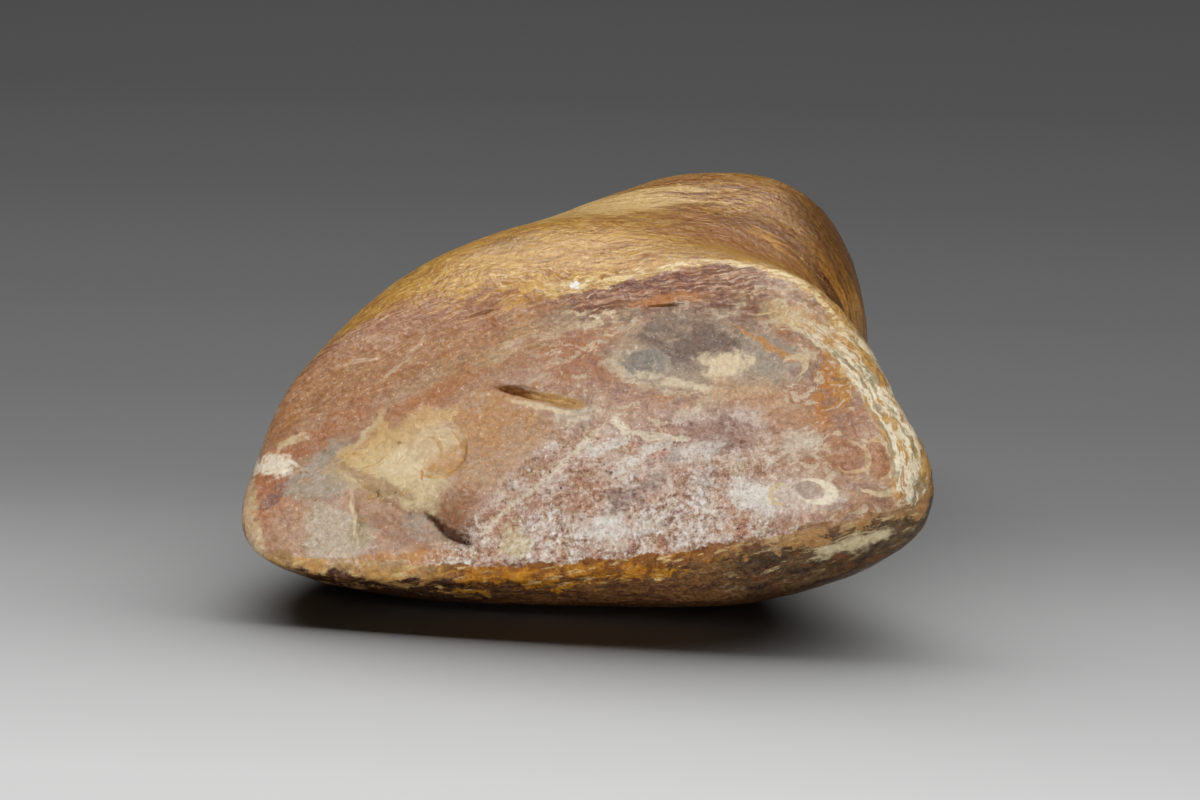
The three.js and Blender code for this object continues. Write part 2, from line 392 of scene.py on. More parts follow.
class Nodes:
    """Puts nodes into a material or a node group, and gives their outputs."""

    def __init__(self, tree):
        self.tree = tree

    def feed(self, socket, value):
        """Gives a socket a value or a colour of 0 to 255 values, or joins another socket to it."""
        if isinstance(value, bpy.types.NodeSocket):
            self.tree.links.new(value, socket)
        elif socket.type == "RGBA" and len(value) == 3:
            socket.default_value = linear(value)
        else:
            socket.default_value = value

    def add(self, kind, inputs=(), **settings):
        """A node with its settings, and its inputs by name or number."""
        made = self.tree.nodes.new(kind)
        for key, value in settings.items():
            setattr(made, key, value)
        for key, value in dict(inputs).items():
            self.feed(made.inputs[key], value)
        return made

    def math(self, operation, first, second=0.0, third=0.0):
        """A Math node's result."""
        return self.add("ShaderNodeMath", {0: first, 1: second, 2: third}, operation=operation).outputs[0]

    def plus(self, first, second):
        """The sum of two values."""
        return self.math("ADD", first, second)

    def minus(self, first, second):
        """One value less another."""
        return self.math("SUBTRACT", first, second)

    def line(self, value, factor, offset):
        """A value times a factor, plus an offset."""
        return self.math("MULTIPLY_ADD", value, factor, offset)

    def vector(self, operation, first, second=(0, 0, 0), third=(0, 0, 0), output=0, **inputs):
        """A Vector Math node's result."""
        inputs = {0: first, 1: second, 2: third, **inputs}
        return self.add("ShaderNodeVectorMath", inputs, operation=operation).outputs[output]

    def times(self, first, *others):
        """The product of masks and shares."""
        for other in others:
            first = self.math("MULTIPLY", first, other)
        return first

    def step(self, value, low, high, start=0.0, end=1.0):
        """A smooth step from one value to another."""
        inputs = {"Value": value, "From Min": low, "From Max": high, "To Min": start, "To Max": end}
        return self.add("ShaderNodeMapRange", inputs, interpolation_type="SMOOTHSTEP").outputs["Result"]

    def mix(self, share, first, second, blend="MIX"):
        """Two colours mixed by a share."""
        made = self.add("ShaderNodeMix", data_type="RGBA", blend_type=blend)
        for number, value in ((0, share), (6, first), (7, second)):
            self.feed(made.inputs[number], value)
        return made.outputs[2]

    def lay(self, under, over, *masks):
        """One colour laid over another where all the masks hold."""
        return self.mix(self.times(*masks), under, over)

    def layers(self, under, rows, *masks):
        """Colours laid over one another where masks hold, each as far as its pattern lies past a step."""
        for colour, pattern, low, high, share in rows:
            under = self.lay(under, colour, *masks, self.step(pattern, low, high), share)
        return under

    def split(self, vector):
        """The three parts of a vector."""
        return self.add("ShaderNodeSeparateXYZ", {0: vector}).outputs

    def noise(self, place, scale, detail=3.0, roughness=0.5, swirl=0.0):
        """A noise value over a place in millimetres."""
        inputs = {"Vector": place, "Scale": scale, "Detail": detail}
        inputs.update({"Roughness": roughness, "Distortion": swirl})
        return self.add("ShaderNodeTexNoise", inputs).outputs[0]

    def local(self, place, middle, turn, size):
        """A place as seen from an oval's middle, along its axes and in its half sizes."""
        inputs = {"Vector": place, "Location": middle, "Rotation": turn, "Scale": size}
        return self.add("ShaderNodeMapping", inputs, vector_type="TEXTURE").outputs[0]

    def use(self, group, **inputs):
        """Places a group with its inputs and gives its first output."""
        made = self.add("ShaderNodeGroup", node_tree=group)
        for key, value in inputs.items():
            self.feed(made.inputs[key.title()], value)
        return made.outputs[0]


def new_group(name, vectors, values, output):
    """A shader node group with its named sockets: its nodes, its inputs, and what takes its output."""
    group = bpy.data.node_groups.new(name, "ShaderNodeTree")
    for kind, labels in (("Vector", vectors), ("Float", values)):
        for label in labels.split():
            group.interface.new_socket(label, in_out="INPUT", socket_type="NodeSocket" + kind)
    group.interface.new_socket(output[0], in_out="OUTPUT", socket_type="NodeSocket" + output[1])
    nodes = Nodes(group)
    given = nodes.add("NodeGroupInput").outputs
    result = nodes.add("NodeGroupOutput").inputs[0]
    return nodes, given, result


def new_material(name):
    """A material with no nodes yet, and what puts nodes into it."""
    material = bpy.data.materials.new(name)
    material.use_nodes = True
    material.node_tree.nodes.clear()
    return material, Nodes(material.node_tree)


def wander_group():
    """Moves a place about, so that what is drawn on it gets a ragged, wavy outline."""
    nodes, (place, scale, reach, _), result = new_group("wander", "Place", "Scale Reach", ("Place", "Vector"))
    cloud = nodes.add("ShaderNodeTexNoise", {"Vector": place, "Scale": scale, "Detail": 2.0}).outputs[1]
    centred = nodes.vector("SUBTRACT", cloud, (0.5, 0.5, 0.5))
    moved = nodes.vector("SCALE", centred, Scale=reach)
    nodes.feed(result, nodes.vector("ADD", place, moved))
    return nodes.tree


def drawn_noise_group():
    """A noise drawn out to its own size along each of three turned directions."""
    nodes, given, result = new_group("drawn noise", "Place Turn Size", "Detail Roughness", ("Value", "Float"))
    place, turn, size, detail, roughness, _ = given
    nodes.feed(result, nodes.noise(nodes.local(place, (0, 0, 0), turn, size), 1.0, detail, roughness))
    return nodes.tree


def inclusion_group():
    """The mask of one inclusion: an oval with a softness, ragged by a noise."""
    nodes, (place, middle, turn, size, softness, rag, raggedness, strength, _), result = new_group(
        "inclusion", "Place Middle Turn Size", "Softness Rag Raggedness Strength", ("Mask", "Float")
    )
    reach = nodes.vector("LENGTH", nodes.local(place, middle, turn, size), output="Value")
    ragged = nodes.line(rag, raggedness, reach)
    inner = nodes.minus(1.0, softness)
    outer = nodes.plus(1.0, softness)
    nodes.feed(result, nodes.times(nodes.step(ragged, inner, outer, 1.0, 0.0), strength))
    return nodes.tree


def curl_group():
    """The mask of a curl: part of an oval ring, open on one side."""
    nodes, (place, middle, turn, size, line, opening, strength, _), result = new_group(
        "curl", "Place Middle Turn Size", "Line Open Strength", ("Mask", "Float")
    )
    local = nodes.local(place, middle, turn, size)
    reach = nodes.vector("LENGTH", local, output="Value")
    along = nodes.split(local)[0]
    width = nodes.times(line, nodes.step(along, opening, 1.0, 0.35, 1.3))
    off_line = nodes.math("ABSOLUTE", nodes.minus(reach, 1.0))
    ring = nodes.step(nodes.math("DIVIDE", off_line, width), 0.5, 1.0, 1.0, 0.0)
    gap = nodes.step(along, opening, nodes.plus(opening, 0.25))
    nodes.feed(result, nodes.times(ring, gap, strength))
    return nodes.tree


def flecks_group():
    """Scattered flecks: a share of the cells holds one, each of its own size."""
    nodes, (place, scale, size, share, _), result = new_group(
        "flecks", "Place", "Scale Size Share", ("Mask", "Float")
    )
    cells = nodes.add("ShaderNodeTexVoronoi", {"Vector": place, "Scale": scale})
    chance, own, _ = nodes.add("ShaderNodeSeparateColor", {0: cells.outputs["Color"]}).outputs
    picked = nodes.math("LESS_THAN", chance, share)
    reach = nodes.times(size, nodes.step(own, 0.0, 1.0, 0.4, 1.0))
    spot = nodes.step(nodes.math("DIVIDE", cells.outputs["Distance"], reach), 0.6, 1.0, 1.0, 0.0)
    nodes.feed(result, nodes.times(picked, spot))
    return nodes.tree


WANDER = wander_group()
DRAWN = drawn_noise_group()
INCLUSION = inclusion_group()
CURL = curl_group()
FLECKS = flecks_group()

# The stone's colours.
IVORY = (232, 220, 196)
CREAM = (216, 196, 158)
WHITE = (234, 228, 220)
ORANGE = (188, 120, 48)
RUST = (150, 88, 46)
ROSE = (172, 130, 106)
TAN = (172, 136, 102)
OCHRE = (178, 132, 54)
PALE_OCHRE = (198, 152, 74)
STRAW = (222, 188, 116)
DEEP_OCHRE = (148, 96, 36)
UMBER = (92, 62, 42)

# Inclusions of the face, from the oldest to the youngest: the middle across and up the face, the half sizes,
# the slant in degrees, how soft and how ragged the edge is, the colour and the strength.

# The brown and tan fields and the left end.
BROWN_FIELD = [
    ("brown field", (-28, 13), (38, 11), 21, 0.2, 0.5, (166, 124, 92), 0.9),
    ("grey haze in the brown", (-22, 14.2), (9, 2.6), 20, 0.4, 1.4, (170, 152, 118), 0.8),
    ("rust under the brown", (-44, 6.5), (15, 2.6), 30, 0.4, 1.2, (166, 108, 70), 0.7),
    ("rust to the fissure", (-24, 9.6), (17, 2.2), 27, 0.4, 1.4, (170, 110, 64), 0.7),
    ("tan field", (-13, -3), (13, 12), 30, 0.3, 0.8, (176, 142, 110), 0.95),
    ("orange by the fissure", (-15, 3), (10, 5), 20, 0.4, 2.2, (184, 132, 74), 0.65),
    ("left end", (-55, -7), (9, 12), 15, 0.3, 1.0, (172, 116, 84), 0.9),
    ("pale vein", (-29.2, 17.4), (5.8, 0.4), 40, 0.3, 2.0, IVORY, 0.85),
    ("pale dash", (-37, 18.8), (3.6, 0.45), 8, 0.3, 2.0, IVORY, 0.7),
    ("left low", (-48, -13), (10, 7), 0, 0.4, 1.2, (180, 146, 118), 0.85),
    ("plum streak", (-52.4, -4), (6, 1.1), 32, 0.4, 1.8, (128, 90, 82), 0.85),
    ("left white", (-54.6, 1.4), (5.6, 2.4), -22, 0.2, 1.2, (238, 228, 208), 0.98),
    ("left white above", (-51, 5.4), (2.6, 0.7), 12, 0.3, 1.2, CREAM, 0.8),
    ("left rim pale", (-59.5, -8), (1.6, 8), 5, 0.4, 2.0, CREAM, 0.7),
]

# The pocket of chalcedony.
POCKET = [
    ("pocket grey", (-43.4, -2.2), (8.6, 5.6), 14, 0.25, 0.6, (170, 157, 140), 0.95),
    ("pocket cream", (-32, -1.0), (10, 6.0), 12, 0.3, 0.8, (208, 180, 130), 0.95),
    ("pocket right", (-25, -0.4), (6.4, 4.8), 10, 0.15, 0.7, (212, 186, 148), 0.95),
    ("pocket foot", (-29.5, -6.6), (8, 4.6), -30, 0.2, 0.9, (212, 192, 152), 0.9),
    ("pocket tan right", (-19, -6.5), (3.6, 3), -20, 0.3, 1.0, (182, 150, 116), 0.8),
    ("pocket upper glow", (-26, 4.6), (7, 2.4), 20, 0.4, 1.4, (210, 174, 122), 0.7),
    ("pocket crystal", (-37, 4.0), (5, 0.7), 36, 0.3, 0.8, CREAM, 0.6),
    ("pocket gold", (-37, 2.6), (6, 1.8), 30, 0.5, 2.4, (206, 166, 108), 0.6),
    ("pocket gold low", (-22.6, -3.6), (4.6, 1.6), 20, 0.5, 2.4, (184, 136, 80), 0.7),
    ("pocket white", (-30, -2.2), (4, 2.2), -40, 0.5, 1.8, (224, 206, 170), 0.7),
    # A painted shadow line below the cream of the pocket.
    ("pocket painted shadow line", (-35.6, -5.6), (7, 1.1), -30, 0.5, 0.8, (158, 124, 88), 0.75),
]

# The facets and the chip at the lower left, and what lies round the fissure.
FACETS = [
    ("lower left grey", (-43.4, -15), (7, 5.5), -40, 0.15, 0.8, (190, 174, 154), 0.95),
    ("brown facet", (-35.6, -11.8), (7.6, 3.8), -42, 0.1, 0.5, (182, 146, 120), 0.95),
    ("brown facet low", (-33, -14.6), (5, 2.6), -35, 0.3, 0.8, (156, 122, 102), 0.7),
    ("green facet", (-39.6, -14.2), (2.4, 3.4), -20, 0.2, 0.6, (162, 148, 116), 0.7),
    ("grey facet", (-28.2, -14.6), (4.6, 2.6), -32, 0.15, 0.6, (168, 152, 136), 0.9),
    ("chip floor", (-19.6, -12.8), (6, 4.6), -44, 0.25, 0.5, (160, 118, 90), 0.95),
    ("cream strip", (-32, -20.4), (11, 1.6), -5, 0.3, 1.4, (188, 134, 72), 0.9),
    ("pale under the fissure", (1.5, 2.2), (5.6, 2.6), -12, 0.4, 1.6, (196, 186, 172), 0.8),
    ("green cream above", (-6, 18.6), (9, 2.8), 24, 0.3, 1.2, (190, 182, 146), 0.85),
    ("cream beside it", (6, 20.4), (8, 2.0), 2, 0.3, 1.6, (216, 204, 170), 0.85),
    # A painted glint on the pale green crystal.
    ("painted glint on the crystal", (-7.8, 17.6), (1.6, 0.8), 30, 0.3, 1.0, WHITE, 0.95),
    ("pink field", (5, 13.5), (12, 4.6), -12, 0.4, 1.2, (162, 108, 74), 0.8),
]

# The grey field with its slate tip and cream blob, and the arcs round it.
GREY_FIELD = [
    ("grey outline", (26, 9.4), (18.6, 8.4), -14, 0.1, 0.7, (204, 186, 158), 0.6),
    ("grey field", (26.6, 10.2), (15, 6.2), -14, 0.4, 1.2, (112, 94, 84), 0.97),
    ("slate edge", (14.6, 9.2), (5.6, 3.6), -25, 0.15, 0.9, (206, 190, 164), 0.7),
    ("slate tip", (15.6, 9.8), (4.2, 2.6), -25, 0.15, 0.9, (136, 128, 120), 0.95),
    ("slate under the grey", (20, 5.6), (7, 1.6), -24, 0.3, 1.4, (138, 124, 112), 0.7),
    ("grey right", (39, 7), (8.4, 3.8), -38, 0.4, 1.2, (164, 150, 134), 0.85),
    ("slate right", (45.6, 3.4), (4, 2.6), -40, 0.3, 1.2, (138, 122, 106), 0.7),
    ("cream blob haze", (27, 5.4), (8.4, 3.2), -8, 0.5, 1.4, (184, 168, 146), 0.6),
    ("cream blob", (29.8, 7.2), (4.6, 2.4), -4, 0.4, 1.6, (222, 204, 172), 0.98),
    ("cream blob tail", (21.5, 5.0), (7, 0.9), -22, 0.3, 1.8, (214, 198, 168), 0.85),
    ("cream under the blob", (30, 1.4), (8, 1.4), -6, 0.3, 2.2, (208, 188, 156), 0.7),
    ("grey upper strip", (27, 18.2), (16, 2.6), -8, 0.3, 1.8, (140, 120, 104), 0.85),
    ("pale upper strip", (32, 17.6), (10, 1.2), -14, 0.3, 2.4, (190, 170, 146), 0.5),
    ("cream upper right", (42, 15.6), (8, 2.6), -34, 0.3, 1.6, (206, 180, 134), 0.9),
    ("rose middle", (16, -1), (9, 5), -20, 0.4, 1.0, (176, 138, 116), 0.7),
    ("rose right", (44, -5), (7, 11), -25, 0.3, 1.0, (168, 124, 94), 0.85),
    ("orange arc upper", (37, 10.6), (8, 0.6), -36, 0.3, 1.4, (192, 134, 66), 0.8),
    ("orange arc right", (46.6, 0), (1.6, 10.5), -14, 0.3, 1.6, (184, 122, 60), 0.85),
    ("orange by the rim", (50.4, 1.8), (2.0, 5.5), -18, 0.4, 1.4, (188, 138, 66), 0.85),
]

# The white flows and blobs of the lower middle, and what fills the curls.
FLOWS = [
    ("plum centre", (27, -5), (8, 4), -15, 0.3, 1.6, (156, 124, 112), 0.8),
    ("orange centre", (36, -1.5), (9, 3), -30, 0.5, 1.8, (182, 136, 98), 0.7),
    ("cream corner", (9.8, -1.8), (2.6, 0.8), -58, 0.2, 1.2, IVORY, 0.95),
    ("cream line right", (16.5, -4.4), (6.5, 0.6), -16, 0.2, 1.4, IVORY, 0.95),
    ("white flow", (4.5, -5), (4.6, 1.3), 14, 0.2, 2.4, WHITE, 0.85),
    ("white flow middle", (12.5, -7.8), (5, 1.3), 22, 0.2, 2.4, WHITE, 0.85),
    ("white flow right", (22, -8.4), (5, 2.0), 20, 0.3, 2.2, WHITE, 0.7),
    ("dark flow", (12.5, -13), (7, 2.2), 30, 0.4, 2.2, (142, 122, 116), 0.6),
    ("white blob upper", (41.5, -8.8), (4.2, 2.6), -10, 0.3, 1.4, (208, 194, 176), 0.85),
    ("pale round the curl", (39, -18.6), (8, 3.2), 0, 0.4, 1.6, (212, 198, 184), 0.8),
    ("white blob lower", (31.4, -17.6), (4.6, 3.0), -24, 0.25, 1.0, (232, 226, 218), 0.95),
    ("white in the grain", (5.4, -20.2), (5.4, 1.9), -4, 0.4, 1.6, (240, 236, 230), 0.85),
    ("cream in the grain", (-11.5, -20), (3.4, 2), 0, 0.3, 1.6, (220, 204, 168), 0.85),
    ("loop fill", (49.5, -13), (3.0, 2.8), -20, 0.2, 0.8, (158, 104, 66), 0.8),
    ("loop fill right", (54.6, -13.6), (2.2, 3.4), 10, 0.2, 0.8, (164, 106, 58), 0.8),
    ("curl fill", (41.6, -17.8), (2.4, 1.2), -16, 0.2, 0.8, (160, 136, 120), 0.6),
    ("boundary line", (-5.4, -9.6), (16.5, 0.5), 35, 0.3, 1.4, IVORY, 0.8),
]

# Marks that lie on an edge or in a hollow of the stone, given as the inclusions are; some of them are painted
# shade and painted highlight.
MARKS = [
    # Painted shadow under the upper edge of the fissure.
    ("fissure painted shadow", (-9.2, 7.9), (4.4, 1.1), -20, 0.3, 0.4, (138, 88, 46), 0.95),
    ("fissure honey", (-1.6, 5.0), (5.4, 1.1), -21, 0.35, 0.6, (200, 160, 100), 0.9),
    # The fissure's cream lip, made brighter partly as a painted highlight.
    ("fissure lip with painted highlight", (-3.4, 3.5), (7.4, 0.6), -21, 0.4, 1.0, (222, 204, 168), 0.75),
    # Painted shade along the crease of the chip.
    ("chip crease painted shade", (-23.8, -16.0), (5.6, 1.0), -43, 0.4, 0.5, (84, 54, 36), 0.95),
    ("facet edge", (-40.6, -11.8), (0.4, 4.6), 2, 0.5, 1.6, (226, 206, 174), 0.8),
    ("facet edge upper", (-36.0, -10.6), (6.0, 0.3), -44, 0.5, 1.6, (196, 164, 130), 0.5),
    ("pocket crack", (-27.4, -5.6), (0.3, 1.2), 6, 0.3, 0.8, ORANGE, 0.8),
]

# Curls and outlines of pale chalcedony: the middle, the half sizes, the slant, the thickness of the line,
# where it opens, the colour and the strength.
CURLS = [
    ("big curl", (42.0, -18.2), (3.4, 1.9), -16, 0.38, -0.75, IVORY, 0.98),
    ("small curl", (36.4, -18.2), (1.6, 1.7), 160, 0.4, -0.6, CREAM, 0.9),
    ("loop", (49.5, -13), (3.4, 2.7), -30, 0.16, -0.5, (212, 180, 138), 0.7),
    ("loop right", (54.4, -13.8), (2.2, 3.7), 10, 0.18, -0.5, (212, 180, 138), 0.7),
    ("outer loop", (54.0, -13.6), (6.4, 6.4), -30, 0.12, -0.2, CREAM, 0.85),
    ("pocket outline", (-24.8, -1.6), (5.6, 5.0), -40, 0.09, -0.1, (190, 138, 70), 0.6),
    ("shell outline", (-26.0, -1.4), (2.4, 3.0), -10, 0.14, -0.3, (188, 142, 80), 0.6),
    ("grey ring", (41, 5.0), (3.0, 2.0), 40, 0.25, -0.2, CREAM, 0.7),
]

# Patches of the body above the face: the middle across, into and up the face, the half sizes, the colour and
# the strength.
BODY_PATCHES = [
    ("brown patch", (-9.2, 10.4, 42.7), (5.5, 2.0, 8), (122, 84, 46), 0.75),
    ("pale field", (-4, 9, 39.6), (12, 2.6, 8), (206, 164, 98), 0.5),
    ("light crest", (12, 28, 56), (16, 9, 5), (216, 182, 122), 0.8),
    ("red shoulder", (32, 17, 42), (13, 6, 14), (142, 84, 40), 0.6),
    ("shoulder plum", (40, 24, 46), (9, 3, 12), (108, 64, 34), 0.6),
    ("shoulder streak", (41, 22.5, 41), (5, 1.2, 9), (204, 144, 60), 0.7),
    ("yellow flank", (54, 32, 30), (6, 10, 9), (164, 112, 42), 0.7),
    ("orange flank", (54, 33, 25), (5, 7, 6), (226, 162, 78), 0.8),
    ("dark butt", (50, 38, 50), (9, 7, 8), (104, 70, 30), 0.6),
]

# A white crystal on the rim, its white partly a painted glint.
CRYSTAL = ((3.6, 1.4, 28.6), (1.0, 1.4, 0.8), WHITE, 0.95)

# Half the depth of an oval in millimetres, how far a noise pushes the outline of an inclusion, and how far
# the colour below moves what is drawn over it.
OVAL_DEPTH = 7
RAG_REACH = 2.2
COLOUR_PUSH = (0.8, 0, 0.8)
SMALL_PUSH = (0.3, 0, 0.3)

# The warmth of the whole face, and the polish of the stone.
WARMTH = (0.97, 0.945, 0.91, 1)
FACE_ROUGHNESS = 0.17
BODY_ROUGHNESS = 0.28
STONE_SPECULAR = 0.4


def oval(middle, half, slant):
    """The sockets that place an oval on the face."""
    return dict(
        middle=(middle[0], 0, middle[1]),
        turn=(0, -math.radians(slant), 0),
        size=(half[0], OVAL_DEPTH, half[1]),
    )


def patch(nodes, place, rag, middle, half, slant, softness, raggedness, strength=1.0):
    """The mask of a ragged patch of the face."""
    return nodes.use(
        INCLUSION, place=place, **oval(middle, half, slant), softness=softness,
        rag=rag, raggedness=raggedness, strength=strength,
    )


def paint(nodes, colour, inclusions, place, rag, share=1.0):
    """Lays inclusions on a colour, one over the other."""
    for _, middle, half, slant, softness, raggedness, own, strength in inclusions:
        mask = patch(nodes, place, rag, middle, half, slant, softness, RAG_REACH * raggedness, strength)
        colour = nodes.lay(colour, own, mask, share)
    return colour


def drawn(nodes, place, size, detail, roughness, slant=0):
    """A noise drawn out along the beds of the stone, or along a slant of the face in degrees."""
    turn = (0, math.radians(-slant), 0)
    return nodes.use(DRAWN, place=place, turn=turn, size=size, detail=detail, roughness=roughness)


def stone_patterns(nodes):
    """The places and patterns that the stone's colours share.

    Place is in millimetres across, into and up the face. Wide and ragged are the same, moved about.
    """
    coordinates = nodes.add("ShaderNodeTexCoord").outputs["Object"]
    place = nodes.local(coordinates, tuple(FACE_CENTRE), tuple(FACE_TURN.to_euler("XYZ")), (MM, MM, MM))
    wide = nodes.use(WANDER, place=place, scale=0.09, reach=4.0)
    ragged = nodes.use(WANDER, place=wide, scale=0.5, reach=1.5)
    across, depth, up = nodes.split(place)
    height = nodes.split(coordinates)[2]
    wobble = nodes.minus(nodes.split(nodes.use(WANDER, place=place, scale=0.3, reach=1.4))[1], depth)
    return dict(
        place=place, wide=wide, ragged=ragged, wobble=wobble,
        across=across, depth=depth, up=up, height=height,
        broad=nodes.noise(place, 0.035, 2.0),
        mottle=nodes.noise(wide, 0.16, 6.0, 0.68),
        rag=drawn(nodes, wide, (5.2, 3.6, 3.6), 8.0, 0.7),
        wisp=nodes.noise(nodes.vector("MULTIPLY", ragged, (0.26, 0.3, 0.4)), 1.0, 5.0, 0.6, 0.7),
        fine=nodes.noise(place, 1.1, 5.0, 0.75),
        grains=nodes.noise(ragged, 1.9, 3.0, 0.7),
        streaks=drawn(nodes, wide, (6, 0.9, 6), 6.0, 0.74),
        fine_streaks=drawn(nodes, ragged, (2.6, 0.34, 2.6), 3.0, 0.65),
        brush=drawn(nodes, wide, (7, 3, 0.6), 5.0, 0.68, slant=21),
        flow=nodes.noise(wide, 0.12, 3.0, 0.55),
        bands=drawn(nodes, wide, (18, 1.3, 18), 6.0, 0.66),
    )


def body_colour(
    nodes, across, depth, height, ragged, mottle, rag, grains, streaks, fine_streaks, flow, bands, **_
):
    """The ochre body, streaked along its beds, redder and darker towards the butt."""
    step, lay = nodes.step, nodes.lay
    body = nodes.mix(step(mottle, 0.38, 0.62), OCHRE, PALE_OCHRE)
    behind = nodes.times(step(depth, 7, 26), step(across, -2, 26))
    body = lay(body, (152, 102, 44), behind, 0.65)
    body = nodes.layers(body, [
        (DEEP_OCHRE, streaks, 0.5, 0.58, 0.7),
        ((156, 100, 48), rag, 0.53, 0.6, 0.5),
        (RUST, streaks, 0.57, 0.64, 0.7),
    ])
    body = nodes.layers(body, [
        ((106, 64, 26), bands, 0.52, 0.6, 0.6),
        ((190, 132, 52), bands, 0.46, 0.38, 0.5),
    ], behind)
    body = lay(body, (128, 64, 34), behind, step(streaks, 0.52, 0.57), step(rag, 0.44, 0.54), 0.7)
    body = lay(body, UMBER, step(fine_streaks, 0.55, 0.6), step(mottle, 0.4, 0.56), 0.6)
    body = lay(body, STRAW, step(fine_streaks, 0.44, 0.38), step(mottle, 0.6, 0.46), 0.7)
    body = lay(body, (116, 104, 96), step(grains, 0.6, 0.66), step(flow, 0.47, 0.53), 0.75)

    # Browner and darker beds round the right flank, and under the stone darker towards the bottom and to the
    # left, partly painted shade.
    flank = nodes.times(step(across, 40, 52), step(depth, 8, 18))
    body = lay(body, (140, 90, 34), flank, 0.6)
    body = nodes.layers(body, [
        ((72, 46, 38), bands, 0.47, 0.54, 0.8),
        ((176, 120, 52), fine_streaks, 0.46, 0.4, 0.6),
    ], flank)
    for _, middle, half, colour, strength in BODY_PATCHES:
        mask = nodes.use(
            INCLUSION, place=ragged, middle=middle, size=half, softness=0.5,
            rag=nodes.minus(bands, 0.5), raggedness=5.0, strength=strength,
        )
        body = nodes.mix(mask, body, colour)
    body = lay(body, (92, 54, 26), behind, step(fine_streaks, 0.57, 0.63), 0.6)
    # Under the stone: darker towards the bottom and the left, partly painted shade.
    under = step(height, 22 * MM, 8 * MM)
    body = lay(body, (114, 74, 46), under, 0.85)
    body = nodes.layers(body, [
        ((66, 36, 34), streaks, 0.47, 0.56, 0.7),
        ((158, 112, 64), fine_streaks, 0.46, 0.38, 0.6),
    ], under)
    return lay(body, (54, 32, 26), under, step(across, -4, -26), 0.75)


def face_colour(nodes, across, up, ragged, broad, mottle, rag, wisp, brush, flow, **_):
    """The face, rose brown and tan, with its inclusions, and the masks of its clear and cloudy parts."""
    step, lay = nodes.step, nodes.lay
    face = nodes.mix(step(mottle, 0.42, 0.58), ROSE, (190, 160, 138))
    face = nodes.layers(face, [
        (TAN, broad, 0.4, 0.6, 0.6),
        ((158, 122, 108), rag, 0.56, 0.62, 0.5),
        ((166, 112, 72), mottle, 0.42, 0.34, 0.7),
    ])
    rag_share = nodes.minus(rag, 0.5)
    for generation in (BROWN_FIELD, POCKET, FACETS, GREY_FIELD):
        around = nodes.vector("MULTIPLY_ADD", face, COLOUR_PUSH, ragged)
        face = paint(nodes, face, generation, around, rag_share)

    # Slanting streaks in the brown field, orange and dark veins, and pale wisps.
    upper_left = nodes.times(step(nodes.line(across, -0.17, up), 13, 18), step(across, 10, -8))
    face = lay(face, (168, 122, 82), upper_left, 0.6)
    face = nodes.layers(face, [
        ((140, 88, 54), brush, 0.5, 0.57, 0.42),
        ((202, 164, 120), brush, 0.44, 0.37, 0.4),
    ], upper_left)
    clear = patch(nodes, ragged, rag_share, (-33, -2), (15, 9), 8, 0.2, 1.0)
    grey_field = patch(nodes, ragged, rag_share, (26, 10), (17, 7.5), -14, 0.2, 1.0, 0.85)
    cloudy = nodes.minus(nodes.minus(1.0, clear), grey_field)
    vein = nodes.times(step(nodes.math("ABSOLUTE", nodes.minus(flow, 0.5)), 0.012, 0.002), cloudy)
    face = lay(face, (178, 116, 54), vein, step(mottle, 0.42, 0.56), 0.6)
    stain = nodes.times(step(nodes.math("ABSOLUTE", rag_share), 0.02, 0.0), step(broad, 0.42, 0.56))
    face = lay(face, ORANGE, stain, cloudy, 0.45)
    face = lay(face, (206, 188, 162), step(wisp, 0.555, 0.58), step(across, -14, 10, 0.15, 0.7), cloudy)
    face = lay(face, (142, 108, 96), step(wisp, 0.44, 0.41), step(across, -10, 10, 0.15, 0.6), cloudy)
    return face, dict(rag_share=rag_share, clear=clear, cloudy=cloudy)


def granular_colour(nodes, face, place, across, up, ragged, mottle, rag, wisp, fine, grains, cloudy, **_):
    """The granular lower middle of the face: clouds of grains with small dark pits, whitest below, where the
    white is partly a painted sheen, with painted glints over it.
    """
    step, lay = nodes.step, nodes.lay
    side = nodes.line(across, -0.8, up)
    granular = nodes.times(step(side, 3.5, -1.5), step(across, 46, 26), step(up, 2, -5))
    low = nodes.times(granular, step(up, -10, -20))
    face = nodes.layers(face, [
        ((224, 202, 188), rag, 0.42, 0.54, 0.75),
        ((196, 146, 118), mottle, 0.48, 0.4, 0.6),
        ((216, 206, 198), mottle, 0.54, 0.58, 0.65),
        ((164, 124, 112), wisp, 0.46, 0.43, 0.4),
        ((152, 102, 82), grains, 0.46, 0.38, 0.4),
        ((236, 226, 218), grains, 0.55, 0.63, 0.45),
    ], granular)
    # Painted sheen: white laid over the lower granular part.
    face = lay(face, (244, 236, 230), low, step(fine, 0.48, 0.58), step(mottle, 0.4, 0.56), 0.65)
    face = lay(face, (122, 80, 68), granular, step(fine, 0.42, 0.36), 0.6)
    # Painted glints: white specks over the cloudy face, more of them in the granular part.
    face = lay(face, (250, 246, 240), step(fine, 0.62, 0.68), nodes.line(granular, 0.7, 0.3), cloudy)
    # More painted glints: scattered white flecks, most of them low in the granular part.
    painted_glints = nodes.use(FLECKS, place=place, scale=1.5, size=0.3, share=0.3)
    face = lay(face, (250, 246, 242), painted_glints, nodes.line(low, 0.5, 0.28))
    pits = nodes.use(FLECKS, place=ragged, scale=0.7, size=0.26, share=0.14)
    face = lay(face, (76, 50, 44), pits, nodes.line(granular, 0.45, 0.4))
    return face, granular


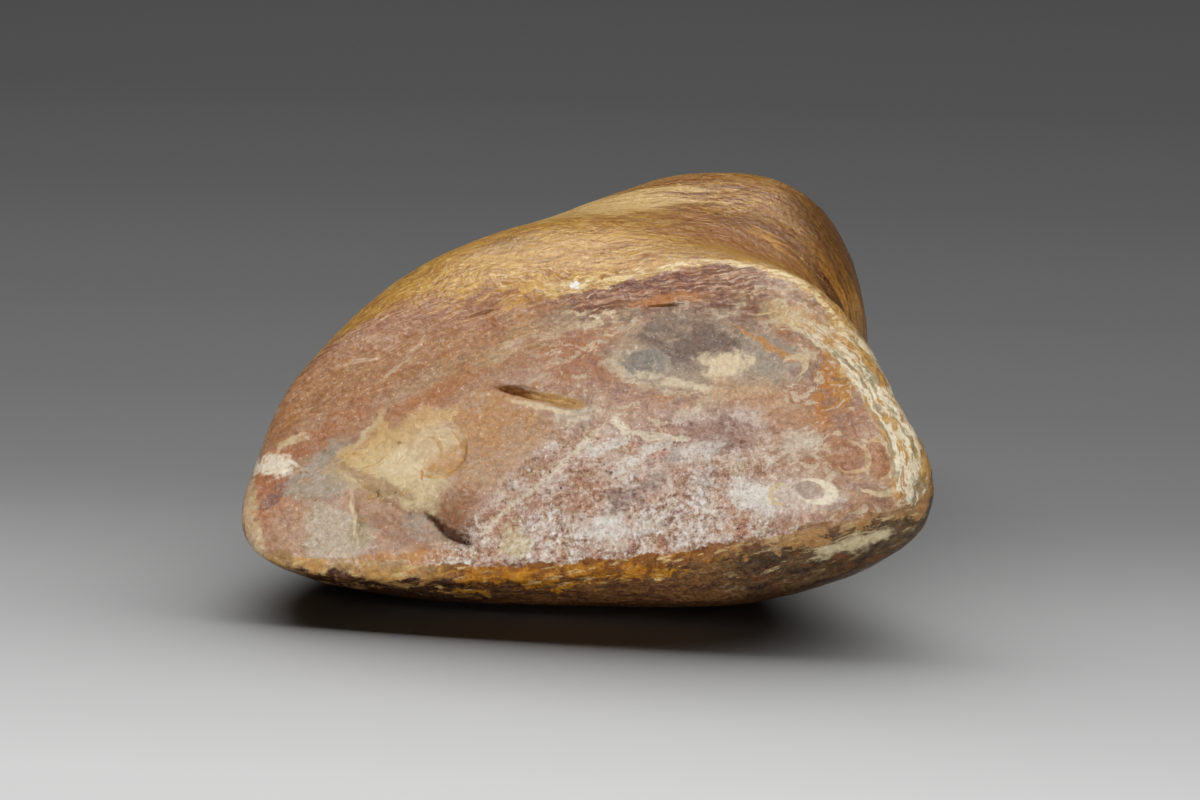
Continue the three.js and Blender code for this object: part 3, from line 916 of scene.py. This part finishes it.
def marked_colour(nodes, face, place, ragged, rag_share, grains, **_):
    """The face with its youngest inclusions, marks and curls, and the place that these are drawn on."""
    around = nodes.vector("MULTIPLY_ADD", face, COLOUR_PUSH, ragged)
    face = paint(nodes, face, FLOWS, around, rag_share, nodes.step(grains, 0.4, 0.52, 0.55, 1.0))
    near = nodes.use(WANDER, place=place, scale=0.35, reach=1.2)
    near = nodes.vector("MULTIPLY_ADD", face, SMALL_PUSH, near)
    face = paint(nodes, face, MARKS, near, rag_share)
    for _, middle, half, slant, line, opening, colour, strength in CURLS:
        at = oval(middle, half, slant)
        mask = nodes.use(CURL, place=near, **at, line=line, open=opening, strength=strength)
        face = nodes.mix(mask, face, colour)
    return nodes.mix(1.0, face, WARMTH, "MULTIPLY"), near


def joined_colour(nodes, face, body, across, depth, up, rag_share, brush, wobble, **_):
    """The face's colour, the body's past the edge of the face, and how far a place lies past that edge.

    The rim is worn round at the upper left. Below, the edge follows a shallow arc, so that the hollows in the
    face keep the face's colours.
    """
    step, minus, times = nodes.step, nodes.minus, nodes.times
    edge = step(up, -12, 4, -0.35, 0.7)
    worn = times(step(across, -16, -40, 0.0, 3.2), step(up, 0, 14))
    worn_left = step(across, -47, -56, 0.0, 6.0)
    seam = times(minus(brush, 0.5), step(across, 4, -14, 0.0, 12.0))
    reach_back = nodes.plus(nodes.plus(edge, worn), nodes.plus(worn_left, seam))
    past_high = nodes.plus(minus(depth, reach_back), wobble)
    from_middle = minus(across, 15.0)
    arc = nodes.line(times(from_middle, from_middle), 0.002, -26.0)
    drop = nodes.plus(minus(arc, up), times(wobble, 0.8))
    drop = nodes.line(rag_share, 5.0, drop)
    past_low = nodes.math("MAXIMUM", drop, minus(minus(depth, 3.8), worn_left))
    past = nodes.line(minus(past_low, past_high), step(up, -7, -13), past_high)
    blur = times(step(across, 0, -16), step(up, 0, 12))
    turned = step(nodes.line(blur, -0.6, past), -0.15, nodes.line(blur, 1.2, 0.3))
    face = nodes.lay(face, (140, 88, 56), blur, step(past, -3.0, -0.6), step(brush, 0.44, 0.54), 0.6)
    return nodes.mix(turned, face, body), past


def shelly_rim(nodes, colour, depth, up, ragged, **_):
    """The shelly beds at the right end of the rim, drawn out along it."""
    step, lay = nodes.step, nodes.lay
    rim_across, rim_depth, rim_up = nodes.split(ragged)
    bow = nodes.plus(rim_up, 17.0)
    shore = nodes.line(nodes.times(bow, bow), 0.0152, rim_across)
    along_rim = nodes.add("ShaderNodeCombineXYZ", {0: shore, 1: rim_depth, 2: rim_up}).outputs[0]
    beds = drawn(nodes, along_rim, (1.4, 1.8, 8.0), 4.0, 0.6)
    blotches = drawn(nodes, along_rim, (3.0, 3.0, 6.0), 4.0, 0.6)
    shelly = nodes.times(step(shore, 55.4, 57.0), step(depth, 9, 4), step(up, 17, 6, 0.15, 1.0))
    shell = nodes.mix(step(blotches, 0.44, 0.54), (176, 162, 130), (198, 152, 84))
    shell = lay(shell, (234, 220, 190), step(beds, 0.46, 0.51), step(blotches, 0.62, 0.48))
    shell = nodes.layers(shell, [
        ((146, 124, 90), beds, 0.43, 0.38, 0.7),
        ((168, 104, 52), beds, 0.59, 0.62, 0.7),
    ])
    return lay(colour, shell, shelly, 0.95)


def upper_rim(nodes, colour, past, across, up, ragged, rag_share, fine_streaks, **_):
    """The rim above: a broken red band inside a cream lip."""
    step, lay = nodes.step, nodes.lay
    high_part = nodes.times(step(up, 8, 16), step(across, -8, 8))
    rim_beds = drawn(nodes, ragged, (5, 1.2, 0.8), 4.0, 0.62)
    red_band = nodes.times(step(past, -2.4, -1.2), step(past, 0.3, -0.1), high_part, step(across, 42, 34))
    band_colour = nodes.mix(step(rim_beds, 0.47, 0.53), (138, 84, 50), (100, 52, 32))
    colour = lay(colour, band_colour, red_band, step(rim_beds, 0.4, 0.48), 0.85)
    ledge = patch(nodes, ragged, rag_share, (19.5, 22.2), (7.4, 1.0), -5, 0.5, 4.0, 0.85)
    colour = nodes.mix(ledge, colour, (176, 114, 58))
    lip = nodes.times(step(past, -0.1, 0.2), step(past, 1.3, 0.8), high_part)
    lip_colour = nodes.mix(step(rim_beds, 0.46, 0.52), (222, 200, 148), (178, 138, 80))
    return lay(colour, lip_colour, lip, step(fine_streaks, 0.38, 0.46), 0.85)


def lower_edge(nodes, colour, past, across, depth, up, wide, ragged, rag, rag_share, **_):
    """The lower edge: a chipped orange ridge with cream streaks that are partly painted highlights, then dark
    beds, paler and olive to the right.
    """
    step, lay = nodes.step, nodes.lay
    low_part = step(up, -11, -15)
    right_part = step(across, 16, 34)
    band = nodes.line(right_part, 1.2, nodes.line(rag_share, 5.0, past))
    ridge = nodes.times(step(past, -0.2, 0.1), step(band, 3.2, 2.4), low_part)
    ridge_colour = nodes.mix(step(rag, 0.42, 0.56), (206, 138, 32), (140, 84, 28))
    slanting = drawn(nodes, wide, (9, 1.3, 1.1), 5.0, 0.66, slant=9)
    # Cream streaks along the ridge, partly painted highlights.
    ridge_colour = nodes.mix(step(slanting, 0.56, 0.6), ridge_colour, (222, 188, 130))
    ridge_colour = nodes.mix(step(across, -18, -34, 0.0, 0.5), ridge_colour, (200, 172, 124))
    ridge_colour = lay(ridge_colour, (150, 124, 94), right_part, 0.6)
    bevel = nodes.times(step(past, -0.2, 0.2), step(depth, 13, 8), low_part, right_part)
    olive = nodes.mix(step(slanting, 0.46, 0.54), (60, 46, 32), (86, 64, 40))
    olive = nodes.layers(olive, [
        ((46, 30, 22), slanting, 0.46, 0.41, 0.9),
        ((116, 66, 32), rag, 0.55, 0.6, 0.6),
    ])
    olive = lay(olive, (186, 166, 124), step(slanting, 0.58, 0.61), step(depth, 9, 3), 0.8)
    lens = patch(nodes, ragged, rag_share, (48, -27.6), (8.4, 1.1), 13, 0.3, 2.6, 0.9)
    olive = nodes.mix(lens, olive, (204, 190, 152))
    colour = lay(colour, olive, bevel, 0.9)
    return lay(colour, ridge_colour, ridge, 0.9)


def stone_relief(nodes, past, granular, ragged, rag, fine, fine_streaks, **_):
    """The fine relief: grain, scratches along the beds, small steps, and crystals in the granular part."""
    relief = nodes.times(fine, nodes.line(granular, 0.4, 0.07))
    relief = nodes.line(fine_streaks, 0.05, relief)
    relief = nodes.line(nodes.noise(ragged, 0.7, 2.0, 0.45), 0.3, relief)
    steps = nodes.math("FRACT", nodes.times(rag, 9.0))
    relief = nodes.line(nodes.times(steps, nodes.step(past, 0.5, -0.5, 0.3, 1.0)), 0.05, relief)
    return nodes.add("ShaderNodeBump", {"Strength": 1.0, "Distance": MM, "Height": relief}).outputs[0]


def stone_material():
    """Banded, polished stone: a mottled face over streaked ochre beds."""
    material, nodes = new_material("banded_stone")
    shared = stone_patterns(nodes)
    body = body_colour(nodes, **shared)
    face, masks = face_colour(nodes, **shared)
    shared.update(masks)
    face, granular = granular_colour(nodes, face, **shared)
    face, near = marked_colour(nodes, face, **shared)
    colour, past = joined_colour(nodes, face, body, **shared)
    colour = shelly_rim(nodes, colour, **shared)
    colour = upper_rim(nodes, colour, past, **shared)
    colour = lower_edge(nodes, colour, past, **shared)
    # The crystal on the rim, its white partly a painted glint.
    middle, half, white, strength = CRYSTAL
    crystal = nodes.use(
        INCLUSION, place=near, middle=middle, size=half, softness=0.15,
        rag=nodes.minus(shared["fine"], 0.5), raggedness=5.0, strength=strength,
    )
    colour = nodes.mix(crystal, colour, white)

    # Fine mottling over everything, weaker in the clear chalcedony of the pocket, which is also glossier.
    mottling = nodes.line(shared["clear"], -0.22, nodes.line(granular, 0.28, 0.44))
    colour = nodes.mix(mottling, colour, nodes.step(shared["fine"], 0.3, 0.7, 0.1, 0.9), "SOFT_LIGHT")
    relief = stone_relief(nodes, past, granular, **shared)
    shader = nodes.add("ShaderNodeBsdfPrincipled", {"Base Color": colour, "Normal": relief})
    gloss = nodes.line(shared["clear"], -0.06, nodes.step(past, -0.5, 0.5, FACE_ROUGHNESS, BODY_ROUGHNESS))
    nodes.feed(shader.inputs["Roughness"], nodes.line(nodes.minus(shared["mottle"], 0.5), 0.3, gloss))
    shader.inputs["Specular IOR Level"].default_value = STONE_SPECULAR
    nodes.add("ShaderNodeOutputMaterial", {"Surface": shader.outputs[0]})
    return material


# The stage, the camera and the lights.

# The floor's tones, painted light that falls off from in front of the stone to behind it: millimetres away
# from the viewer, and the tone.
# The painted light is turned a little, so that the floor is paler at the left, and falls off a little towards
# the right.
FLOOR_TURN = math.radians(7)
FLOOR_FALL = 0.92
FLOOR_HALF_WIDTH = 200
FLOOR_SIZE = 8
FLOOR_TONES = [
    (-150, 0.82), (-120, 0.72), (-100, 0.605), (-80, 0.5), (-60, 0.402), (-42, 0.33), (-23, 0.246),
    (-3, 0.172), (10, 0.142), (25, 0.122), (65, 0.087), (130, 0.057), (215, 0.0325), (315, 0.0195),
    (450, 0.016),
]


def floor_material():
    """A floor whose colour carries painted light: pale in front and dark behind the stone."""
    material, nodes = new_material("studio_floor")
    coordinates = nodes.add("ShaderNodeTexCoord").outputs["Object"]
    turn = CAMERA_AZIMUTH - FLOOR_TURN
    direction = (-math.sin(turn) / MM, math.cos(turn) / MM, 0)
    away = nodes.vector("DOT_PRODUCT", coordinates, direction, output="Value")
    near, far = FLOOR_TONES[0][0], FLOOR_TONES[-1][0]
    share = nodes.math("DIVIDE", nodes.minus(away, near), far - near)
    ramp = nodes.add("ShaderNodeValToRGB", {0: share})
    elements = ramp.color_ramp.elements
    while len(elements) < len(FLOOR_TONES):
        elements.new(0.5)
    for element, (at, tone) in zip(elements, FLOOR_TONES):
        element.position = (at - near) / (far - near)
        element.color = (tone, tone, tone, 1)
    sideways = nodes.vector("DOT_PRODUCT", coordinates, (direction[1], -direction[0], 0), output="Value")
    across = nodes.step(sideways, -FLOOR_HALF_WIDTH, FLOOR_HALF_WIDTH)
    fall = nodes.mix(across, (1, 1, 1, 1), (FLOOR_FALL, FLOOR_FALL, FLOOR_FALL, 1))
    colour = nodes.mix(1.0, ramp.outputs[0], fall, "MULTIPLY")
    shader = nodes.add("ShaderNodeBsdfPrincipled", {"Base Color": colour, "Roughness": 0.8})
    shader.inputs["Specular IOR Level"].default_value = 0.2
    nodes.add("ShaderNodeOutputMaterial", {"Surface": shader.outputs[0]})
    return material


def make_floor():
    """A wide, flat floor."""
    bpy.ops.object.select_all(action="DESELECT")
    bpy.ops.mesh.primitive_plane_add(size=FLOOR_SIZE)
    floor = bpy.context.object
    floor.name = "floor"
    floor.data.materials.append(floor_material())
    return floor


# The lights: where they stand and what they look at in millimetres, their width and height, and their power.
STONE_LIGHTS = {
    "top_light": ((-40, 430, 740), (0, -20, 20), (800, 560), 6.2),
    "front_light": ((-60, -640, 520), (0, -30, 30), (300, 160), 3.6),
    "spark_light": ((-90, -470, 640), (0, -40, 30), (90, 60), 0.8),
    "low_light": ((160, -620, 90), (0, -30, 20), (500, 140), 0.6),
}
FLOOR_LIGHTS = {"floor_light": ((190, 500, 590), (190, 500, 0), (1800, 460), 21)}
WORLD_STRENGTH = 0.008


def softbox(name, at, aim, size, power):
    """A soft rectangular light that looks at a place."""
    light = bpy.data.lights.new(name, "AREA")
    light.shape = "RECTANGLE"
    light.size = size[0] * MM
    light.size_y = size[1] * MM
    light.energy = power
    lamp = bpy.data.objects.new(name, light)
    lamp.location = Vector(at) * MM
    lamp.rotation_euler = (Vector(aim) - Vector(at)).to_track_quat("-Z", "Y").to_euler()
    bpy.context.scene.collection.objects.link(lamp)
    return lamp


def make_lights(stone, floor):
    """The lights, each for its own piece, and a faint glow from all round."""
    for piece, lights in ((stone, STONE_LIGHTS), (floor, FLOOR_LIGHTS)):
        for name, placing in lights.items():
            receivers = bpy.data.collections.new(name + "_receivers")
            receivers.objects.link(piece)
            softbox(name, *placing).light_linking.receiver_collection = receivers
    world = bpy.data.worlds.new("studio")
    world.use_nodes = True
    background = world.node_tree.nodes["Background"]
    background.inputs[0].default_value = (1, 1, 1, 1)
    background.inputs[1].default_value = WORLD_STRENGTH
    bpy.context.scene.world = world


def make_camera():
    """The camera of the main view."""
    azimuth, elevation = CAMERA_AZIMUTH, CAMERA_ELEVATION
    back = Vector((
        math.sin(azimuth) * math.cos(elevation), -math.cos(azimuth) * math.cos(elevation), math.sin(elevation)
    ))
    lens = bpy.data.cameras.new("camera")
    lens.lens = CAMERA_LENS
    lens.clip_start = 0.01
    camera = bpy.data.objects.new("camera", lens)
    camera.location = CAMERA_TARGET + back * CAMERA_DISTANCE
    camera.rotation_euler = (-back).to_track_quat("-Z", "Y").to_euler()
    bpy.context.scene.collection.objects.link(camera)
    bpy.context.scene.camera = camera


stone = shaped_stone()
stone.data.materials.append(stone_material())
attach(stone, "root")
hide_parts("pestle_stone")

make_camera()
make_lights(stone, make_floor())
bpy.context.scene.view_settings.view_transform = "Standard"
